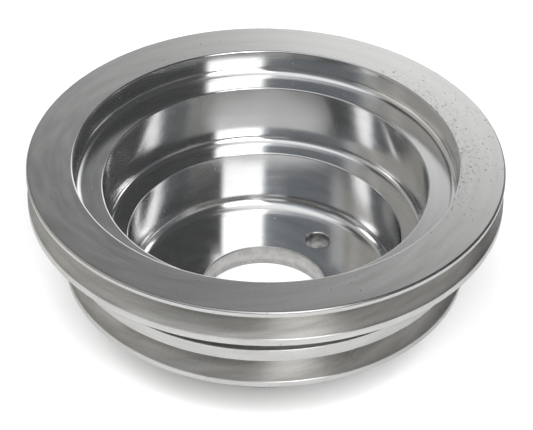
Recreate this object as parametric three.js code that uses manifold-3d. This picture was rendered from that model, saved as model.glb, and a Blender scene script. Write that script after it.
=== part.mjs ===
import * as THREE from "three";
import { mergeVertices } from "three/addons/utils/BufferGeometryUtils.js";
import Module from "manifold-3d";

// Double-groove V-belt pulley turned from one billet, standing on its hub with the open cup up.
// Millimetres, +Z up, axis on Z, underside of the hub at z = 0.

// Overall sizes
const height = 69;
const frontRadius = 89; // outer radius of the large belt ring
const rearRadius = 76.2; // outer radius of the small belt ring

// Edge breaks
const rimChamfer = 0.5;
const landBreak = 0.4;
const boreBreak = 0.5;

// Points closer than this are welded before a shape becomes a solid
const weldDistance = 1e-4;

// Depths below the rim face of the outside features
const frontLandEnd = 2.2;
const frontGrooveEnd = 12.1;
const frontRingEnd = 15.1;
const rearRingStart = 28;
const rearGrooveStart = 33.1;
const rearGrooveEnd = 43;
const rearRingEnd = 45.5;

// V grooves for 3/8 in belts, and the relief between the two rings
const grooveDepth = 10.5;
const flankAngle = THREE.MathUtils.degToRad(18); // each flank, measured from the plane of the ring
const reliefRadius = 69.5;
const reliefFillet = 2;

// Hub below the rings
const hubRadius = 58;
const hubFillet = 2.5;
const hubChamfer = 8;

// Stepped cup: radius and floor depth of each bore, with the fillet in its corner
const cupBores = [
  { radius: 71.9, depth: 10.1, fillet: 3 },
  { radius: 60.9, depth: 35.4, fillet: 2.8 },
  { radius: 51.9, depth: 60.7, fillet: 5.2 },
];

// Pilot bore and bolt pattern
const pilotRadius = 23.8;
const boltCircleRadius = 35.4;
const boltHoleRadius = 4.95;
const boltHoleCount = 3;
const firstBoltAngle = THREE.MathUtils.degToRad(54);
const boltHoleMargin = 1; // how far the drill tool runs past each face

// Mesh fineness
const turnSegments = 64;
const holeSegments = 24;
const filletSteps = 4;

/** Point of the turned section at a radius and a depth below the rim face. */
function at(radius, depth) {
  return new THREE.Vector2(radius, height - depth);
}

/** Points of a fillet arc around a centre, angles in degrees, both ends included. */
function arc(centre, radius, fromDegrees, toDegrees) {
  const points = [];
  for (let i = 0; i <= filletSteps; i += 1) {
    const angle = THREE.MathUtils.degToRad(fromDegrees + ((toDegrees - fromDegrees) * i) / filletSteps);
    points.push(new THREE.Vector2(
      centre.x + radius * Math.cos(angle),
      centre.y + radius * Math.sin(angle),
    ));
  }
  return points;
}

/** A V groove cut inwards from a ring, listed from its lower lip to its upper lip. */
function groove(ringRadius, startDepth, endDepth) {
  const rise = grooveDepth * Math.tan(flankAngle);
  return [
    at(ringRadius - landBreak, endDepth),
    at(ringRadius - grooveDepth, endDepth - rise),
    at(ringRadius - grooveDepth, startDepth + rise),
    at(ringRadius - landBreak, startDepth),
  ];
}

/** Outside of the pulley from the hub underside up to the rim face. */
function outsideProfile() {
  return [
    at(hubRadius - hubChamfer, height),
    at(hubRadius, height - hubChamfer),
    ...arc(at(hubRadius + hubFillet, rearRingEnd + hubFillet), hubFillet, 180, 90),
    at(rearRadius - landBreak, rearRingEnd),
    at(rearRadius, rearRingEnd - landBreak),
    at(rearRadius, rearGrooveEnd + landBreak),
    ...groove(rearRadius, rearGrooveStart, rearGrooveEnd),
    at(rearRadius, rearGrooveStart - landBreak),
    at(rearRadius, rearRingStart + landBreak),
    at(rearRadius - landBreak, rearRingStart),
    ...arc(at(reliefRadius + reliefFillet, rearRingStart - reliefFillet), reliefFillet, 270, 180),
    ...arc(at(reliefRadius + reliefFillet, frontRingEnd + reliefFillet), reliefFillet, 180, 90),
    at(frontRadius - landBreak, frontRingEnd),
    at(frontRadius, frontRingEnd - landBreak),
    at(frontRadius, frontGrooveEnd + landBreak),
    ...groove(frontRadius, frontLandEnd, frontGrooveEnd),
    at(frontRadius, frontLandEnd - landBreak),
    at(frontRadius, rimChamfer),
    at(frontRadius - rimChamfer, 0),
  ];
}

/** Inside of the pulley from the rim face down through the stepped cup to the pilot bore. */
function insideProfile() {
  const points = [];
  let faceDepth = 0;
  for (const bore of cupBores) {
    points.push(at(bore.radius + boreBreak, faceDepth));
    points.push(at(bore.radius, faceDepth + boreBreak));
    points.push(...arc(at(bore.radius - bore.fillet, bore.depth - bore.fillet), bore.fillet, 0, -90));
    faceDepth = bore.depth;
  }
  points.push(at(pilotRadius + boreBreak, faceDepth));
  points.push(at(pilotRadius, faceDepth + boreBreak));
  points.push(at(pilotRadius, height - boreBreak));
  points.push(at(pilotRadius + boreBreak, height));
  return points;
}

/** The turned blank: the closed section spun about Z. */
function turnedBlank() {
  const section = [...outsideProfile(), ...insideProfile()];
  section.push(section[0].clone());
  const geometry = new THREE.LatheGeometry(section, turnSegments);
  geometry.rotateX(Math.PI / 2);
  return geometry;
}

/** Drill tool for one bolt hole, running past both faces of the cup floor. */
function boltHoleTool(index) {
  const floorThickness = height - cupBores[cupBores.length - 1].depth;
  const angle = firstBoltAngle + (index * 2 * Math.PI) / boltHoleCount;
  const geometry = new THREE.CylinderGeometry(
    boltHoleRadius,
    boltHoleRadius,
    floorThickness + 2 * boltHoleMargin,
    holeSegments,
  );
  geometry.rotateX(Math.PI / 2);
  geometry.translate(
    boltCircleRadius * Math.cos(angle),
    boltCircleRadius * Math.sin(angle),
    floorThickness / 2,
  );
  return geometry;
}

/** Converts a three.js geometry to a manifold solid. */
function toSolid(wasm, geometry) {
  const bare = new THREE.BufferGeometry();
  bare.setAttribute("position", geometry.getAttribute("position").clone());
  if (geometry.index) {
    bare.setIndex(geometry.index.clone());
  }
  const welded = mergeVertices(bare, weldDistance);
  return new wasm.Manifold(new wasm.Mesh({
    numProp: 3,
    vertProperties: new Float32Array(welded.getAttribute("position").array),
    triVerts: new Uint32Array(welded.index.array),
  }));
}

/** Converts a manifold solid back to a three.js geometry. */
function toGeometry(solid) {
  const mesh = solid.getMesh();
  const positions = new Float32Array(mesh.numVert * 3);
  for (let i = 0; i < mesh.numVert; i += 1) {
    for (let k = 0; k < 3; k += 1) {
      positions[i * 3 + k] = mesh.vertProperties[i * mesh.numProp + k];
    }
  }
  const geometry = new THREE.BufferGeometry();
  geometry.setAttribute("position", new THREE.BufferAttribute(positions, 3));
  geometry.setIndex(new THREE.BufferAttribute(new Uint32Array(mesh.triVerts), 1));
  geometry.computeVertexNormals();
  return geometry;
}

const wasm = await Module();
wasm.setup();

let pulleySolid = toSolid(wasm, turnedBlank());
for (let i = 0; i < boltHoleCount; i += 1) {
  pulleySolid = pulleySolid.subtract(toSolid(wasm, boltHoleTool(i)));
}

const pulley = new THREE.Mesh(
  toGeometry(pulleySolid),
  new THREE.MeshStandardMaterial({ color: 0xb9bbbd, roughness: 0.28, metalness: 1 }),
);
pulley.name = "crank_pulley";

const assembly = new THREE.Group();
assembly.name = "double_groove_crank_pulley";
assembly.add(pulley);

export default assembly;
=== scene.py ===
import math
import bpy
import numpy as np
from mathutils import Matrix, Vector


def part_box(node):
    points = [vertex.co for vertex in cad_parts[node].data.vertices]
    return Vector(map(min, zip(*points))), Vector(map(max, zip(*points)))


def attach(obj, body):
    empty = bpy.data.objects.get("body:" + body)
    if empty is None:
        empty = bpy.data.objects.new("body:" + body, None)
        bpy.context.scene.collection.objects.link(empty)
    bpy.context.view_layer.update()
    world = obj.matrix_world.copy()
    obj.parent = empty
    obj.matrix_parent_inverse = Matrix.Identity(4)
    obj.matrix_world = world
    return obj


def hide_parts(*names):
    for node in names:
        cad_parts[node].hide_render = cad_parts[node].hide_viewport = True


# Double-groove V-belt crankshaft pulley, turned from one billet, standing on its hub with the cup up.
# Metres, +Z up, axis on Z. Lengths in the dictionaries of the view and the pulley are millimetres.

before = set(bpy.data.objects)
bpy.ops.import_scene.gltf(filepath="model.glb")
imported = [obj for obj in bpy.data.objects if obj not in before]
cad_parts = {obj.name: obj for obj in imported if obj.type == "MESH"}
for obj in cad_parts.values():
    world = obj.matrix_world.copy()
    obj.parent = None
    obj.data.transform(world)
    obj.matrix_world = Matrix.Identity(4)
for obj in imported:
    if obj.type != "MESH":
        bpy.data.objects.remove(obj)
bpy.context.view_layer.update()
lowest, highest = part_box("crank_pulley")
mm = 0.001
pulleyHeight = (highest.z - lowest.z) / mm
pulleyRadius = (highest.x - lowest.x) / 2 / mm
scene = bpy.context.scene
print("frame loaded")


def aimed(azimuth, elevation):
    # Direction (sin a cos e, -cos a cos e, sin e): azimuth 0 is in front, + to the right. Also the level
    # vector to its right, (cos a, sin a, 0), and the vector square to both.
    a, e = math.radians(azimuth), math.radians(elevation)
    forward = Vector((math.sin(a) * math.cos(e), -math.cos(a) * math.cos(e), math.sin(e)))
    right = Vector((math.cos(a), math.sin(a), 0))
    return forward, right, forward.cross(right)


view = {
    "elevation": 37.672,  # degrees above the floor
    "roll": 0.962,  # degrees, anticlockwise
    "distance": 883.86,  # from the aim point
    "aimDown": 20.852,  # from the rim centre to the aim point, square to the line of sight
    "aimRight": 0.501,
    "lens": 160.59,
    "sensor": 36.0,
    "nearest": 0.01,  # metres, and the next one
    "furthest": 50.0,
}


def addCamera():
    # Long-lens camera above the front edge, looking down into the cup.
    back, right, up = aimed(0, view["elevation"])
    aim = Vector((0, 0, pulleyHeight)) - up * view["aimDown"] + right * view["aimRight"]
    axes = Matrix((right, up, back)).transposed() @ Matrix.Rotation(math.radians(view["roll"]), 3, "Z")
    data = bpy.data.cameras.new("viewCamera")
    data.lens = view["lens"]
    data.sensor_width = view["sensor"]
    data.clip_start = view["nearest"]
    data.clip_end = view["furthest"]
    camera = bpy.data.objects.new("viewCamera", data)
    camera.matrix_world = Matrix.Translation((aim + back * view["distance"]) * mm) @ axes.to_4x4()
    scene.collection.objects.link(camera)
    scene.camera = camera


addCamera()
print("camera placed")


def feed(tree, socket, value):
    # Links a socket, or sets a plain value.
    if isinstance(value, bpy.types.NodeSocket):
        tree.links.new(value, socket)
    else:
        socket.default_value = value


def addNode(tree, kind, settings=None, inputs=None):
    # settings are the node's own properties, inputs its sockets by name or number.
    node = tree.nodes.new(kind)
    for name, value in (settings or {}).items():
        setattr(node, name, value)
    for key, value in (inputs or {}).items():
        feed(tree, node.inputs[key], value)
    return node


def mathNode(tree, operation, *values):
    return addNode(tree, "ShaderNodeMath", {"operation": operation}, dict(enumerate(values))).outputs[0]


def vectorNode(tree, operation, *values):
    made = addNode(tree, "ShaderNodeVectorMath", {"operation": operation}, dict(enumerate(values)))
    return made.outputs["Vector"]


def vectorValue(tree, operation, *values):
    # For operations that give a number, such as a length.
    made = addNode(tree, "ShaderNodeVectorMath", {"operation": operation}, dict(enumerate(values)))
    return made.outputs["Value"]


def scaledVector(tree, vector, factor):
    made = addNode(tree, "ShaderNodeVectorMath", {"operation": "SCALE"}, {0: vector, "Scale": factor})
    return made.outputs[0]


def smoothRamp(tree, value, low, high, toLow=0.0, toHigh=1.0):
    # toLow up to low, toHigh from high on, and an eased curve between them.
    settings = {"interpolation_type": "SMOOTHSTEP"}
    inputs = {0: value, 1: low, 2: high, 3: toLow, 4: toHigh}
    return addNode(tree, "ShaderNodeMapRange", settings, inputs).outputs[0]


def noise(tree, vector, scale, detail):
    inputs = {"Vector": vector, "Scale": scale, "Detail": detail}
    return addNode(tree, "ShaderNodeTexNoise", None, inputs)


def blendColours(tree, factor, first, second):
    # first at factor 0, second at 1. A Mix node's colours are its inputs 6 and 7 and its output 2.
    made = addNode(tree, "ShaderNodeMix", {"data_type": "RGBA"}, {0: factor, 6: first, 7: second})
    return made.outputs[2]


def newGroup(name, inputs, outputs):
    # Shader node group with nothing in it yet. inputs: name -> (socket kind, default).
    # outputs: name -> socket kind.
    tree = bpy.data.node_groups.new(name, "ShaderNodeTree")
    for title, (kind, value) in inputs.items():
        socket = tree.interface.new_socket(name=title, in_out="INPUT", socket_type="NodeSocket" + kind)
        socket.default_value = value
    for title, kind in outputs.items():
        tree.interface.new_socket(name=title, in_out="OUTPUT", socket_type="NodeSocket" + kind)
    return tree, addNode(tree, "NodeGroupInput").outputs, addNode(tree, "NodeGroupOutput").inputs


# Flat soft panels far away, as the metal mirrors them: degrees, and edge as a tangent. Light 1 is white.
panels = {
    "frontStrip": {"azimuth": 20, "elevation": 37, "width": 28, "height": 54, "edge": 0.03, "light": 2.3},
    "frontLow": {"azimuth": 17, "elevation": 15, "width": 22, "height": 22, "edge": 0.10, "light": 3.6},
    "upperFront": {"azimuth": -34, "elevation": 53, "width": 58, "height": 16, "edge": 0.06, "light": 0.42},
    "lowerFront": {"azimuth": -32, "elevation": 26, "width": 56, "height": 40, "edge": 0.08, "light": 0.12},
    "overhead": {"azimuth": -50, "elevation": 80, "width": 50, "height": 40, "edge": 0.10, "light": 1.0},
    "leftWall": {"azimuth": -104, "elevation": 20, "width": 76, "height": 60, "edge": 0.10, "light": 0.38},
    "leftStrip": {"azimuth": -86, "elevation": 36, "width": 8, "height": 40, "edge": 0.05, "light": 0.12},
    "leftTable": {"azimuth": -84, "elevation": 11, "width": 64, "height": 24, "edge": 0.06, "light": 0.36},
    "backRight": {"azimuth": 166, "elevation": 13, "width": 26, "height": 50, "edge": 0.06, "light": 0.80},
    "backWide": {"azimuth": -178, "elevation": 6, "width": 58, "height": 56, "edge": 0.08, "light": 0.60},
    "backHigh": {"azimuth": 180, "elevation": 40, "width": 60, "height": 16, "edge": 0.06, "light": 0.04},
    "horizon": {"azimuth": 180, "elevation": 0, "width": 96, "height": 20, "edge": 0.08, "light": 0.30},
}
panelTints = {
    "upperFront": (0.91, 0.99, 1.08),
    "lowerFront": (0.90, 1.00, 1.10),
    "leftWall": (1.03, 1.00, 0.93),
    "leftStrip": (1.03, 1.00, 0.93),
    "leftTable": (1.06, 1.00, 0.88),
}
# Soft square lamps that light the floor and don't show in the metal: degrees, metres and watts.
washes = {
    "frontWash": {"azimuth": 10, "elevation": 48, "away": 1.0, "side": 0.6, "power": 6.9},
    "rightWash": {"azimuth": 45, "elevation": 50, "away": 1.0, "side": 0.6, "power": 5.7},
    "frontLeftWash": {"azimuth": -45, "elevation": 50, "away": 2.2, "side": 1.6, "power": 12.0},
    "leftWash": {"azimuth": -90, "elevation": 62, "away": 2.2, "side": 2.2, "power": 32.0},
    "lowLeftWash": {"azimuth": -90, "elevation": 38, "away": 2.2, "side": 1.6, "power": 6.5},
    "backWash": {"azimuth": 180, "elevation": 62, "away": 2.2, "side": 2.2, "power": 9.5},
}
room = {
    "shade": (0.082, 0.084, 0.086),  # what the metal mirrors where no panel stands
    "onFloor": (0.0, 0.0, 0.0, 1.0),  # what the room gives the floor, which has its own lamps
    "backdrop": (1.0, 1.0, 1.0, 1.0),  # what the camera sees past the floor
    "floorSize": 8.0,  # metres
    "floorColour": (0.88, 0.88, 0.88, 1.0),
    "floorInMetal": (0.49, 0.49, 0.49, 1.0),  # the same floor as the metal mirrors it
    "floorRough": 0.9,
    "floorGloss": 0.0,
    "noGlow": (0.0, 0.0, 0.0, 1.0),
    "glow": 1.0,  # strength of the glow that fades the far floor into the backdrop
    "glowStart": 0.35,  # metres from the middle
    "glowEnd": 1.4,
}


def makePanelGroup():
    # Mask of a flat rectangle seen in a direction d: u = d.right / d.forward, v = d.up / d.forward. It is
    # 1 where |u| and |v| are inside the half sizes and fades to 0 over the edge.
    tree, given, put = newGroup(
        "studioPanel",
        {
            "Direction": ("Vector", (0, 0, 1)),
            "Forward": ("Vector", (0, 0, 1)),
            "Right": ("Vector", (1, 0, 0)),
            "Up": ("Vector", (0, 1, 0)),
            "Half Width": ("Float", 0.5),
            "Half Height": ("Float", 0.5),
            "Edge": ("Float", 0.1),
        },
        {"Mask": "Float"},
    )
    leastAhead = 0.001  # keeps the division finite, and the panel out of the half behind it
    ahead = vectorValue(tree, "DOT_PRODUCT", given["Direction"], given["Forward"])
    safe = mathNode(tree, "MAXIMUM", ahead, leastAhead)
    mask = mathNode(tree, "GREATER_THAN", ahead, leastAhead)
    for axis, half in (("Right", "Half Width"), ("Up", "Half Height")):
        side = vectorValue(tree, "DOT_PRODUCT", given["Direction"], given[axis])
        offset = mathNode(tree, "ABSOLUTE", mathNode(tree, "DIVIDE", side, safe))
        inner = mathNode(tree, "SUBTRACT", given[half], given["Edge"])
        outer = mathNode(tree, "ADD", given[half], given["Edge"])
        mask = mathNode(tree, "MULTIPLY", mask, smoothRamp(tree, offset, inner, outer, 1.0, 0.0))
    feed(tree, put["Mask"], mask)
    return tree


def addStudio():
    # Dim room with the panels added up for the metal, and a plain backdrop for the camera.
    world = bpy.data.worlds.new("studio")
    scene.world = world
    world.use_nodes = True
    tree = world.node_tree
    tree.nodes.clear()
    group = makePanelGroup()
    direction = addNode(tree, "ShaderNodeTexCoord").outputs["Generated"]
    total = vectorNode(tree, "ADD", room["shade"])
    for name, panel in panels.items():
        forward, right, up = aimed(panel["azimuth"], panel["elevation"])
        mask = addNode(tree, "ShaderNodeGroup", {"node_tree": group, "label": name}, {
            "Direction": direction,
            "Forward": forward,
            "Right": right,
            "Up": up,
            "Half Width": math.tan(math.radians(panel["width"] / 2)),
            "Half Height": math.tan(math.radians(panel["height"] / 2)),
            "Edge": panel["edge"],
        })
        colour = [panel["light"] * part for part in panelTints.get(name, (1, 1, 1))]
        total = vectorNode(tree, "ADD", total, scaledVector(tree, colour, mask.outputs["Mask"]))
    path = addNode(tree, "ShaderNodeLightPath").outputs
    shown = blendColours(tree, path["Is Diffuse Ray"], total, room["onFloor"])
    lit = addNode(tree, "ShaderNodeBackground", None, {"Color": shown})
    plain = addNode(tree, "ShaderNodeBackground", None, {"Color": room["backdrop"]})
    seen = path["Is Camera Ray"]
    both = addNode(tree, "ShaderNodeMixShader", None, {0: seen, 1: lit.outputs[0], 2: plain.outputs[0]})
    addNode(tree, "ShaderNodeOutputWorld", None, {"Surface": both.outputs[0]})


def addFloor():
    # Plain square of pale paper at z = 0.
    half = room["floorSize"] / 2
    mesh = bpy.data.meshes.new("floor")
    corners = [(-half, -half, 0), (half, -half, 0), (half, half, 0), (-half, half, 0)]
    mesh.from_pydata(corners, [], [(0, 1, 2, 3)])
    floor = bpy.data.objects.new("floor", mesh)
    scene.collection.objects.link(floor)
    material = bpy.data.materials.new("floorPaper")
    material.use_nodes = True
    tree = material.node_tree
    seen = addNode(tree, "ShaderNodeLightPath").outputs["Is Camera Ray"]
    shader = tree.nodes["Principled BSDF"]
    paper = blendColours(tree, seen, room["floorInMetal"], room["floorColour"])
    place = addNode(tree, "ShaderNodeTexCoord").outputs["Object"]
    glow = smoothRamp(tree, vectorValue(tree, "LENGTH", place), room["glowStart"], room["glowEnd"])
    feed(tree, shader.inputs["Base Color"], paper)
    feed(tree, shader.inputs["Emission Color"], blendColours(tree, glow, room["noGlow"], paper))
    shader.inputs["Emission Strength"].default_value = room["glow"]
    shader.inputs["Roughness"].default_value = room["floorRough"]
    shader.inputs["Specular IOR Level"].default_value = room["floorGloss"]
    mesh.materials.append(material)


def addWashes():
    # Each lamp stands at its distance along its direction and faces back along it.
    for name, wash in washes.items():
        forward, right, up = aimed(wash["azimuth"], wash["elevation"])
        light = bpy.data.lights.new(name, "AREA")
        light.shape = "SQUARE"
        light.size = wash["side"]
        light.energy = wash["power"]
        lamp = bpy.data.objects.new(name, light)
        turn = Matrix((right, up, forward)).transposed()
        lamp.matrix_world = Matrix.Translation(forward * wash["away"]) @ turn.to_4x4()
        lamp.visible_glossy = False
        scene.collection.objects.link(lamp)


addStudio()
addFloor()
addWashes()
scene.view_settings.view_transform = "Standard"
print("studio lit")


offAxis = (1, 1, 0)  # a point times this is its offset from the axis
noiseMiddle = (0.5, 0.5, 0.5)
turning = {
    "linesPerMetre": 3000.0,
    "lineDetail": 3.0,
    "bandsPerMetre": 260.0,
    "bandDetail": 2.0,
    "streaks": 5.0,  # per radian
    "streakDetail": 5.0,
    "streaksAcross": 60.0,  # radians that a metre across the lathe lines counts for
    "grainPerMetre": 2600.0,
    "grainDetail": 2.0,
}


def makeTurnedGroup():
    # Lathe marks: noise read at (radius, height), so it never changes round the axis. The streak is a slow
    # noise read at the unit direction from the axis plus that section point, so it changes round the axis.
    # The grain is a fine noise in space.
    tree, given, put = newGroup(
        "turnedMarks",
        {
            "Lines per Metre": ("Float", turning["linesPerMetre"]),
            "Bands per Metre": ("Float", turning["bandsPerMetre"]),
            "Streaks": ("Float", turning["streaks"]),
        },
        {"Lines": "Float", "Bands": "Float", "Streak": "Float", "Grain": "Float"},
    )
    place = addNode(tree, "ShaderNodeTexCoord").outputs["Object"]
    flat = vectorNode(tree, "MULTIPLY", place, offAxis)
    height = addNode(tree, "ShaderNodeSeparateXYZ", None, {0: place}).outputs["Z"]
    inputs = {"X": vectorValue(tree, "LENGTH", flat), "Z": height}
    section = addNode(tree, "ShaderNodeCombineXYZ", None, inputs).outputs[0]
    spread = scaledVector(tree, section, turning["streaksAcross"])
    around = vectorNode(tree, "ADD", vectorNode(tree, "NORMALIZE", flat), spread)
    lines = noise(tree, section, given["Lines per Metre"], turning["lineDetail"])
    bands = noise(tree, section, given["Bands per Metre"], turning["bandDetail"])
    streak = noise(tree, around, given["Streaks"], turning["streakDetail"])
    grain = noise(tree, place, turning["grainPerMetre"], turning["grainDetail"])
    for title, marks in (("Lines", lines), ("Bands", bands), ("Streak", streak), ("Grain", grain)):
        feed(tree, put[title], marks.outputs["Fac"])
    return tree


handling = {
    "cellsPerMetre": 1500.0,
    "size": 0.66,  # reach of the largest dent, as a share of a cell
    "flatShare": 0.4,  # of a dent's reach that is at full depth
    "fullShare": 0.3,  # of the worn reach that is fully worn
    "farWear": 0.12,  # far from the worn radius
    "leastWear": 0.02,  # anywhere
    "warpPerMetre": 1100.0,
    "warpDetail": 2.0,
    "warpReach": 0.0014,  # metres that the cells are bent by
    "depth": 6.0,  # micrometres
    "colour": (0.14, 0.135, 0.13, 1),
    "rough": 0.2,  # added to the roughness
}


def makeNickGroup():
    # Small dents: Voronoi cells in warped space, 1 near the cell's centre and 0 past the dent's size, which
    # is a random part of Size. A cell is kept where its random value is under the share times the wear. The
    # wear falls off away from the worn side and the worn radius. A few cells are kept anywhere as specks.
    tree, given, put = newGroup(
        "handlingNicks",
        {
            "Cells per Metre": ("Float", handling["cellsPerMetre"]),
            "Size": ("Float", handling["size"]),
            "Share": ("Float", 0.2),
            "Worn Side": ("Vector", (0, 0, 0)),
            "Worn Reach": ("Float", 0.06),
            "Worn Radius": ("Float", 0.05),
            "Radius Reach": ("Float", 0.1),
        },
        {"Nicks": "Float"},
    )
    place = addNode(tree, "ShaderNodeTexCoord").outputs["Object"]
    cloud = noise(tree, place, handling["warpPerMetre"], handling["warpDetail"]).outputs["Color"]
    warp = vectorNode(tree, "SUBTRACT", cloud, noiseMiddle)
    bent = vectorNode(tree, "ADD", place, scaledVector(tree, warp, handling["warpReach"]))
    inputs = {"Vector": bent, "Scale": given["Cells per Metre"]}
    cells = addNode(tree, "ShaderNodeTexVoronoi", None, inputs)
    chance = addNode(tree, "ShaderNodeSeparateColor", None, {0: cells.outputs["Color"]}).outputs
    size = mathNode(tree, "MULTIPLY", given["Size"], chance[1])
    flatSize = mathNode(tree, "MULTIPLY", size, handling["flatShare"])
    dent = smoothRamp(tree, cells.outputs["Distance"], flatSize, size, 1.0, 0.0)
    away = vectorValue(tree, "DISTANCE", place, given["Worn Side"])
    fullyWorn = mathNode(tree, "MULTIPLY", given["Worn Reach"], handling["fullShare"])
    worn = smoothRamp(tree, away, fullyWorn, given["Worn Reach"], 1.0, 0.0)
    radius = vectorValue(tree, "LENGTH", vectorNode(tree, "MULTIPLY", place, offAxis))
    offset = mathNode(tree, "ABSOLUTE", mathNode(tree, "SUBTRACT", radius, given["Worn Radius"]))
    near = smoothRamp(tree, offset, 0.0, given["Radius Reach"], 1.0, handling["farWear"])
    least = handling["leastWear"]
    wear = mathNode(tree, "MULTIPLY_ADD", mathNode(tree, "MULTIPLY", worn, near), 1 - least, least)
    kept = mathNode(tree, "LESS_THAN", chance[0], mathNode(tree, "MULTIPLY", given["Share"], wear))
    feed(tree, put["Nicks"], mathNode(tree, "MULTIPLY", dent, kept))
    return tree


turnedMarks = makeTurnedGroup()
handlingNicks = makeNickGroup()

# Finishes of the bare aluminium, with two of painted shade: the recess wall and the rim's edge rounds.
# light, dark: the two colours that the marks blend.
# rough, spread: roughness and how far the streaks move it.
# grain: how far the lathe lines stretch highlights across themselves.
# lines, grit: height of the lathe lines and of the grain, in micrometres.
# pitch, bands: lathe lines and bands per metre.
# share, dirt: share of the cells that are nicked, and how far a nick takes the nick colour.
# side, reach: the most worn spot and how far the wear reaches. radius, radiusReach: the same from the axis.
finishes = {
    "polishedBore": {
        "light": (0.75, 0.75, 0.75, 1), "dark": (0.70, 0.70, 0.70, 1), "rough": 0.15, "spread": 0.10,
        "grain": 0.82, "lines": 0.15, "pitch": 2600, "share": 0.012, "dirt": 0.35, "grit": 0.0,
    },
    "facedRim": {
        "light": (0.73, 0.725, 0.715, 1), "dark": (0.66, 0.655, 0.645, 1), "rough": 0.20, "spread": 0.12,
        "grain": 0.30, "lines": 0.6, "pitch": 3400, "share": 1.0, "dirt": 0.80, "grit": 0.5,
        "side": (0.074, 0.015, 0.069), "reach": 0.066, "radius": 0.072, "radiusReach": 0.009,
    },
    "turnedLand": {
        "light": (0.72, 0.715, 0.71, 1), "dark": (0.60, 0.595, 0.585, 1), "rough": 0.30, "spread": 0.12,
        "grain": 0.40, "lines": 1.2, "pitch": 3000, "share": 0.012, "dirt": 0.35, "grit": 0.5,
    },
    # Rim edge rounds: painted shade, a dark colour standing in for the dark line that the edge mirrors.
    "brokenEdge": {
        "light": (0.24, 0.24, 0.24, 1), "dark": (0.16, 0.16, 0.16, 1), "rough": 0.35, "spread": 0.12,
        "grain": 0.20, "lines": 0.5, "pitch": 3000, "share": 0.0, "dirt": 0.0, "grit": 0.0,
    },
    "grooveFlank": {
        "light": (0.78, 0.775, 0.76, 1), "dark": (0.54, 0.53, 0.51, 1), "rough": 0.30, "spread": 0.16,
        "grain": 0.90, "lines": 2.0, "pitch": 3200, "share": 0.010, "dirt": 0.30, "grit": 1.5,
    },
    "pilotWall": {
        "light": (0.84, 0.83, 0.82, 1), "dark": (0.58, 0.57, 0.56, 1), "rough": 0.46, "spread": 0.12,
        "grain": 0.10, "lines": 3.0, "pitch": 1800, "share": 0.25, "dirt": 0.30, "grit": 8.0,
    },
    "drilledHole": {
        "light": (0.86, 0.855, 0.845, 1), "dark": (0.30, 0.295, 0.29, 1), "rough": 0.24, "spread": 0.10,
        "grain": 0.20, "lines": 1.0, "pitch": 2400, "share": 0.02, "dirt": 0.30, "bands": 420, "grit": 1.0,
    },
    "turnedHub": {
        "light": (0.68, 0.675, 0.665, 1), "dark": (0.54, 0.535, 0.525, 1), "rough": 0.34, "spread": 0.12,
        "grain": 0.40, "lines": 2.5, "pitch": 2200, "share": 0.03, "dirt": 0.40, "grit": 1.0,
    },
    # Recess between the rings: painted shade, a dark colour standing in for the shade under the front ring.
    "recessWall": {
        "light": (0.36, 0.35, 0.34, 1), "dark": (0.22, 0.215, 0.21, 1), "rough": 0.48, "spread": 0.12,
        "grain": 0.30, "lines": 2.5, "pitch": 2200, "share": 0.03, "dirt": 0.40, "grit": 1.0,
    },
}
evenWear = {"side": (0, 0, 0), "reach": 0.5, "radius": 0.05, "radiusReach": 0.2}  # metres
toneShares = {"Streak": 0.4, "Bands": 0.4, "Grain": 0.2}
toneRamp = (0.36, 0.64)  # mixed marks at the dark and at the light colour
acrossLines = 0.25  # turns from the lathe lines to the way highlights stretch
micrometre = 1e-6


def makeFinish(name, finish):
    # Bare turned aluminium. The colour goes from dark to light with streaks, bands and grain, roughness
    # follows the streaks, and the height is the lathe lines plus grit minus the nicks.
    values = {**evenWear, "bands": turning["bandsPerMetre"], **finish}
    material = bpy.data.materials.new(name)
    material.use_nodes = True
    tree = material.node_tree
    shader = tree.nodes["Principled BSDF"]
    marks = addNode(tree, "ShaderNodeGroup", {"node_tree": turnedMarks}, {
        "Lines per Metre": values["pitch"],
        "Bands per Metre": values["bands"],
    }).outputs
    wear = addNode(tree, "ShaderNodeGroup", {"node_tree": handlingNicks}, {
        "Share": values["share"],
        "Worn Side": values["side"],
        "Worn Reach": values["reach"],
        "Worn Radius": values["radius"],
        "Radius Reach": values["radiusReach"],
    })
    nicks = wear.outputs["Nicks"]
    mixed = 0.0
    for title, toneShare in toneShares.items():
        mixed = mathNode(tree, "MULTIPLY_ADD", marks[title], toneShare, mixed)
    clean = blendColours(tree, smoothRamp(tree, mixed, *toneRamp), values["dark"], values["light"])
    dirt = mathNode(tree, "MULTIPLY", nicks, values["dirt"])
    feed(tree, shader.inputs["Base Color"], blendColours(tree, dirt, clean, handling["colour"]))
    lowRough = values["rough"] - values["spread"] / 2
    rough = mathNode(tree, "MULTIPLY_ADD", marks["Streak"], values["spread"], lowRough)
    rough = mathNode(tree, "MULTIPLY_ADD", nicks, handling["rough"], rough)
    feed(tree, shader.inputs["Roughness"], rough)
    shader.inputs["Metallic"].default_value = 1.0
    shader.inputs["Anisotropic"].default_value = values["grain"]
    shader.inputs["Anisotropic Rotation"].default_value = acrossLines
    tangent = addNode(tree, "ShaderNodeTangent", {"direction_type": "RADIAL", "axis": "Z"})
    feed(tree, shader.inputs["Tangent"], tangent.outputs[0])
    grit = mathNode(tree, "MULTIPLY", marks["Grain"], values["grit"])
    height = mathNode(tree, "MULTIPLY_ADD", marks["Lines"], values["lines"], grit)
    height = mathNode(tree, "MULTIPLY_ADD", nicks, -handling["depth"], height)
    inputs = {"Strength": 1.0, "Distance": micrometre, "Height": height}
    bump = addNode(tree, "ShaderNodeBump", None, inputs)
    feed(tree, shader.inputs["Normal"], bump.outputs[0])
    return material


finishOrder = list(finishes)
materials = [makeFinish(name, finish) for name, finish in finishes.items()]
print("metal finishes made")


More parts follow.
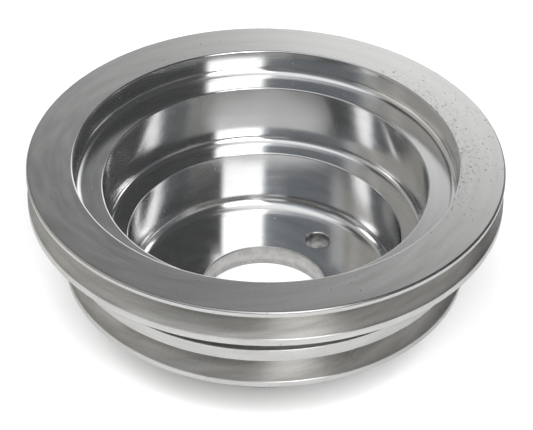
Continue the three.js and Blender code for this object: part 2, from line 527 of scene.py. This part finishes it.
pulley = {
    "segments": 240,  # round the axis, so that bolts and patchAngle fall on whole segments
    "arcSteps": 4,  # on edge rounds
    "filletSteps": 12,  # on fillets from reliefFillet up
    "support": 0.18,  # flat strip kept beside every round
    "shortRun": 3,  # and at most the run divided by this
    "level": 1e-6,  # a run that rises less than this is flat
    "edgeRound": 0.35,
    "rimRound": 0.30,
    "rimChamfer": 0.5,
    "frontLandEnd": 2.2,  # depths below the rim face
    "frontGrooveEnd": 12.1,
    "frontRingEnd": 15.1,
    "rearRingStart": 28.0,
    "rearGrooveStart": 33.1,
    "rearGrooveEnd": 43.0,
    "rearRingEnd": 45.5,
    "rearRadius": 76.2,
    "grooveDepth": 10.5,
    "flankAngle": 18,  # degrees
    "grooveRound": 0.8,
    "reliefRadius": 69.5,
    "reliefFillet": 2.0,
    "hubRadius": 58.0,
    "hubFillet": 2.5,
    "hubChamfer": 8.0,
    "hubRound": 0.5,
    "bores": ((71.9, 10.1, 3.0), (60.9, 35.4, 2.8), (51.9, 60.7, 5.2)),  # radius, floor depth, fillet
    "boreRound": 0.5,
    "pilotRadius": 23.8,
    "boltCircle": 35.4,
    "boltRadius": 4.95,
    "boltCount": 3,
    "firstBolt": 54,  # degrees
    "boltEdge": 0.4,
    "patchReach": 7.0,  # half size of the floor patch round each bolt hole, along the radius
    "patchAngle": 12,  # and round the axis, degrees
    "patchRings": 8,
}
cupFloor = pulleyHeight - pulley["bores"][-1][1]


def outline():
    # Corners of the turned section in order, from the hub underside up the outside, over the rim and down
    # the cup: radius, depth below the rim face, rounding radius, the finish from this corner to the next,
    # and the finish of the rounding where it differs.
    p = pulley
    rise = p["grooveDepth"] * math.tan(math.radians(p["flankAngle"]))
    edge, hubEdge, bottom = p["edgeRound"], p["hubRound"], pulleyHeight
    corners = [
        (p["hubRadius"] - p["hubChamfer"], bottom, hubEdge, "turnedHub"),
        (p["hubRadius"], bottom - p["hubChamfer"], hubEdge, "turnedHub"),
        (p["hubRadius"], p["rearRingEnd"], p["hubFillet"], "turnedHub"),
    ]
    rearRing = (p["rearRadius"], p["rearRingEnd"], p["rearGrooveEnd"], p["rearGrooveStart"], "rear")
    frontRing = (pulleyRadius, p["frontRingEnd"], p["frontGrooveEnd"], p["frontLandEnd"], "front")
    for radius, ringEnd, grooveEnd, grooveStart, ring in (rearRing, frontRing):
        root = radius - p["grooveDepth"]
        corners += [
            (radius, ringEnd, edge, "turnedLand"),
            (radius, grooveEnd, edge, "grooveFlank"),
            (root, grooveEnd - rise, p["grooveRound"], "grooveFlank"),
            (root, grooveStart + rise, p["grooveRound"], "grooveFlank"),
            (radius, grooveStart, edge, "turnedLand"),
        ]
        if ring == "rear":
            corners += [
                (radius, p["rearRingStart"], edge, "turnedHub"),
                # The recess wall between the rings takes painted shade as its finish.
                (p["reliefRadius"], p["rearRingStart"], p["reliefFillet"], "recessWall"),
                (p["reliefRadius"], p["frontRingEnd"], p["reliefFillet"], "recessWall"),
            ]
    corners += [
        # The rounds at both ends of the rim chamfer take painted shade as their finish.
        (pulleyRadius, p["rimChamfer"], p["rimRound"], "turnedHub", "brokenEdge"),
        (pulleyRadius - p["rimChamfer"], 0, p["rimRound"], "facedRim", "brokenEdge"),
    ]
    face = 0
    for radius, depth, fillet in p["bores"]:
        corners.append((radius, face, p["boreRound"], "polishedBore"))
        corners.append((radius, depth, fillet, "polishedBore"))
        face = depth
    corners.append((p["pilotRadius"], face, p["boreRound"], "pilotWall"))
    corners.append((p["pilotRadius"], bottom, p["boreRound"], "turnedHub"))
    return corners


def patchRadii():
    # Radii at which the floor and the underside are split so that the bolt hole patches fit in.
    middle, reach = pulley["boltCircle"], pulley["patchReach"]
    return np.linspace(middle - reach, middle + reach, pulley["patchRings"])


def cornerArc(last, spot, following, radius):
    # Arc that rounds a corner. With turn angle t it starts radius * tan(t / 2) before the corner and swings
    # t round a centre one radius to the side.
    comeIn = (spot - last) / np.linalg.norm(spot - last)
    goOut = (following - spot) / np.linalg.norm(following - spot)
    turn = math.atan2(comeIn[0] * goOut[1] - comeIn[1] * goOut[0], comeIn @ goOut)
    steps = pulley["filletSteps"] if radius >= pulley["reliefFillet"] else pulley["arcSteps"]
    side = np.array((-comeIn[1], comeIn[0])) * math.copysign(radius, turn)
    centre = spot - comeIn * radius * math.tan(abs(turn) / 2) + side
    swing = turn * np.linspace(0, 1, steps + 1)[:, None]
    x = -side[0] * np.cos(swing) + side[1] * np.sin(swing)
    y = -side[0] * np.sin(swing) - side[1] * np.cos(swing)
    return centre + np.concatenate((x, y), 1)


def roundedSection():
    # The outline with every corner rounded, and on each straight run a point just inside both ends, so
    # that the run stays flat. Returns points (radius, height) and the finish number of the span after each.
    corners = outline()
    spots = np.array([(corner[0], pulleyHeight - corner[1]) for corner in corners])
    neighbours = zip(np.roll(spots, 1, 0), spots, np.roll(spots, -1, 0), corners)
    arcs = [cornerArc(last, spot, following, corner[2]) for last, spot, following, corner in neighbours]
    splits = patchRadii()
    points, spans = [], []
    for arc, nextArc, corner in zip(arcs, arcs[1:] + arcs[:1], corners):
        run = nextArc[0] - arc[-1]
        length = np.linalg.norm(run)
        inset = min(pulley["support"], length / pulley["shortRun"]) / length
        shares = [inset, 1 - inset]
        ends = sorted((arc[-1][0], nextArc[0][0]))
        if abs(run[1]) < pulley["level"] and ends[0] < splits[0] and ends[1] > splits[-1]:
            shares += list((splits - arc[-1][0]) / run[0])
        points += [arc, arc[-1] + np.array(sorted(shares))[:, None] * run]
        runFinish, arcFinish = corner[3], corner[-1]  # the same one unless the corner has a fifth item
        spans += [finishOrder.index(arcFinish)] * (len(arc) - 1)
        spans += [finishOrder.index(runFinish)] * (1 + len(shares))
    return np.concatenate(points), np.array(spans)


def spin(section, spans):
    # Section carried round Z: x = r cos a, y = r sin a, z = height. Each face joins neighbours both ways.
    count, rows = pulley["segments"], len(section)
    angle = np.arange(count) * 2 * np.pi / count
    verts = np.empty((count, rows, 3))
    verts[..., 0] = np.cos(angle)[:, None] * section[:, 0]
    verts[..., 1] = np.sin(angle)[:, None] * section[:, 0]
    verts[..., 2] = section[:, 1]
    number = np.arange(count * rows).reshape(count, rows)
    beside = np.roll(number, -1, 0)
    faces = np.stack((number, beside, np.roll(beside, -1, 1), np.roll(number, -1, 1)), -1)
    return verts.reshape(-1, 3), faces, np.tile(spans, (count, 1))


def rowsAt(section, radii, height):
    # Indices of the section points at some radii and one height.
    distance = np.hypot(section[:, 0] - radii[:, None], section[:, 1] - height)
    return distance.argmin(1)


def sectorLoop(section, columns, height):
    # Numbers of the body points round one sector at one height, as a closed loop.
    rows = rowsAt(section, patchRadii(), height)
    grid = columns[:, None] * len(section) + rows
    return np.concatenate((grid[:-1, 0], grid[-1, :-1], grid[:0:-1, -1], grid[0, :0:-1]))


def holeProfile():
    # Radius and height of the rings of a drilled hole from the underside up. Both ends are quarter circles:
    # radius = bore + edge - edge * sin b, height = edge - edge * cos b, with a flat ring one edge wide
    # beyond them.
    edge, bore = pulley["boltEdge"], pulley["boltRadius"]
    bend = np.linspace(0, math.pi / 2, pulley["arcSteps"] + 1)
    curl = bore + edge - edge * np.sin(bend)
    drop = edge - edge * np.cos(bend)
    flat = [bore + 2 * edge]
    radii = np.concatenate((flat, curl, curl[::-1], flat))
    heights = np.concatenate(([0.0], drop, cupFloor - drop[::-1], [cupFloor]))
    return radii, heights


def boltPatch(section, verts, first, bearing):
    # One drilled hole. The patch's rim is the closed loop of body points round its sector, and every ring
    # inside keeps each rim point's direction from the hole's centre: point = centre + radius * direction.
    # Returns its points, faces and finishes, and the body columns that it covers.
    p = pulley
    step = 360 / p["segments"]
    wide, middle = round(p["patchAngle"] / step), round(bearing / step)
    columns = np.arange(middle - wide, middle + wide + 1) % p["segments"]
    under, over = (sectorLoop(section, columns, height) for height in (0.0, cupFloor))
    angle = math.radians(bearing)
    centre = np.array((math.cos(angle), math.sin(angle))) * p["boltCircle"]
    away = verts[under, :2] - centre
    direction = away / np.linalg.norm(away, axis=1)[:, None]
    radii, heights = holeProfile()
    rings = np.empty((len(radii), len(direction), 3))
    rings[..., :2] = centre + radii[:, None, None] * direction
    rings[..., 2] = heights[:, None]
    inner = first + np.arange(rings.shape[0] * rings.shape[1]).reshape(rings.shape[:2])
    grid = np.concatenate((under[None], inner, over[None]))
    ahead = np.roll(grid, -1, 1)
    faces = np.stack((grid[:-1], ahead[:-1], ahead[1:], grid[1:]), -1)
    finish = np.full(faces.shape[:2], finishOrder.index("drilledHole"))
    finish[0] = finishOrder.index("turnedHub")
    finish[-1] = finishOrder.index("polishedBore")
    return rings.reshape(-1, 3), faces.reshape(-1, 4), finish.ravel(), columns[:-1]


def makePulley():
    # Spins the section, drops its sectors under and over each bolt hole and puts the hole patches in.
    section, spans = roundedSection()
    verts, faces, finish = spin(section, spans)
    keep = np.ones(faces.shape[:2], bool)
    allVerts, newFaces, newFinish = [verts], [], []
    radii = patchRadii()[[0, -1]]
    for index in range(pulley["boltCount"]):
        bearing = pulley["firstBolt"] + index * 360 / pulley["boltCount"]
        first = sum(map(len, allVerts))
        made, quads, kinds, columns = boltPatch(section, verts, first, bearing)
        for height in (0.0, cupFloor):
            start, end = sorted(rowsAt(section, radii, height))
            keep[np.ix_(columns, np.arange(start, end))] = False
        allVerts.append(made)
        newFaces.append(quads)
        newFinish.append(kinds)
    allFaces = np.concatenate([faces[keep]] + newFaces)
    allFinish = np.concatenate([finish[keep]] + newFinish)
    mesh = bpy.data.meshes.new("crankPulley")
    mesh.from_pydata(np.concatenate(allVerts) * mm, [], allFaces)
    mesh.polygons.foreach_set("material_index", allFinish.astype(np.int32))
    mesh.polygons.foreach_set("use_smooth", np.ones(len(allFaces), bool))
    for material in materials:
        mesh.materials.append(material)
    mesh.update()
    piece = bpy.data.objects.new("crankPulley", mesh)
    scene.collection.objects.link(piece)
    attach(piece, "root")
    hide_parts("crank_pulley")


makePulley()
print("pulley made")
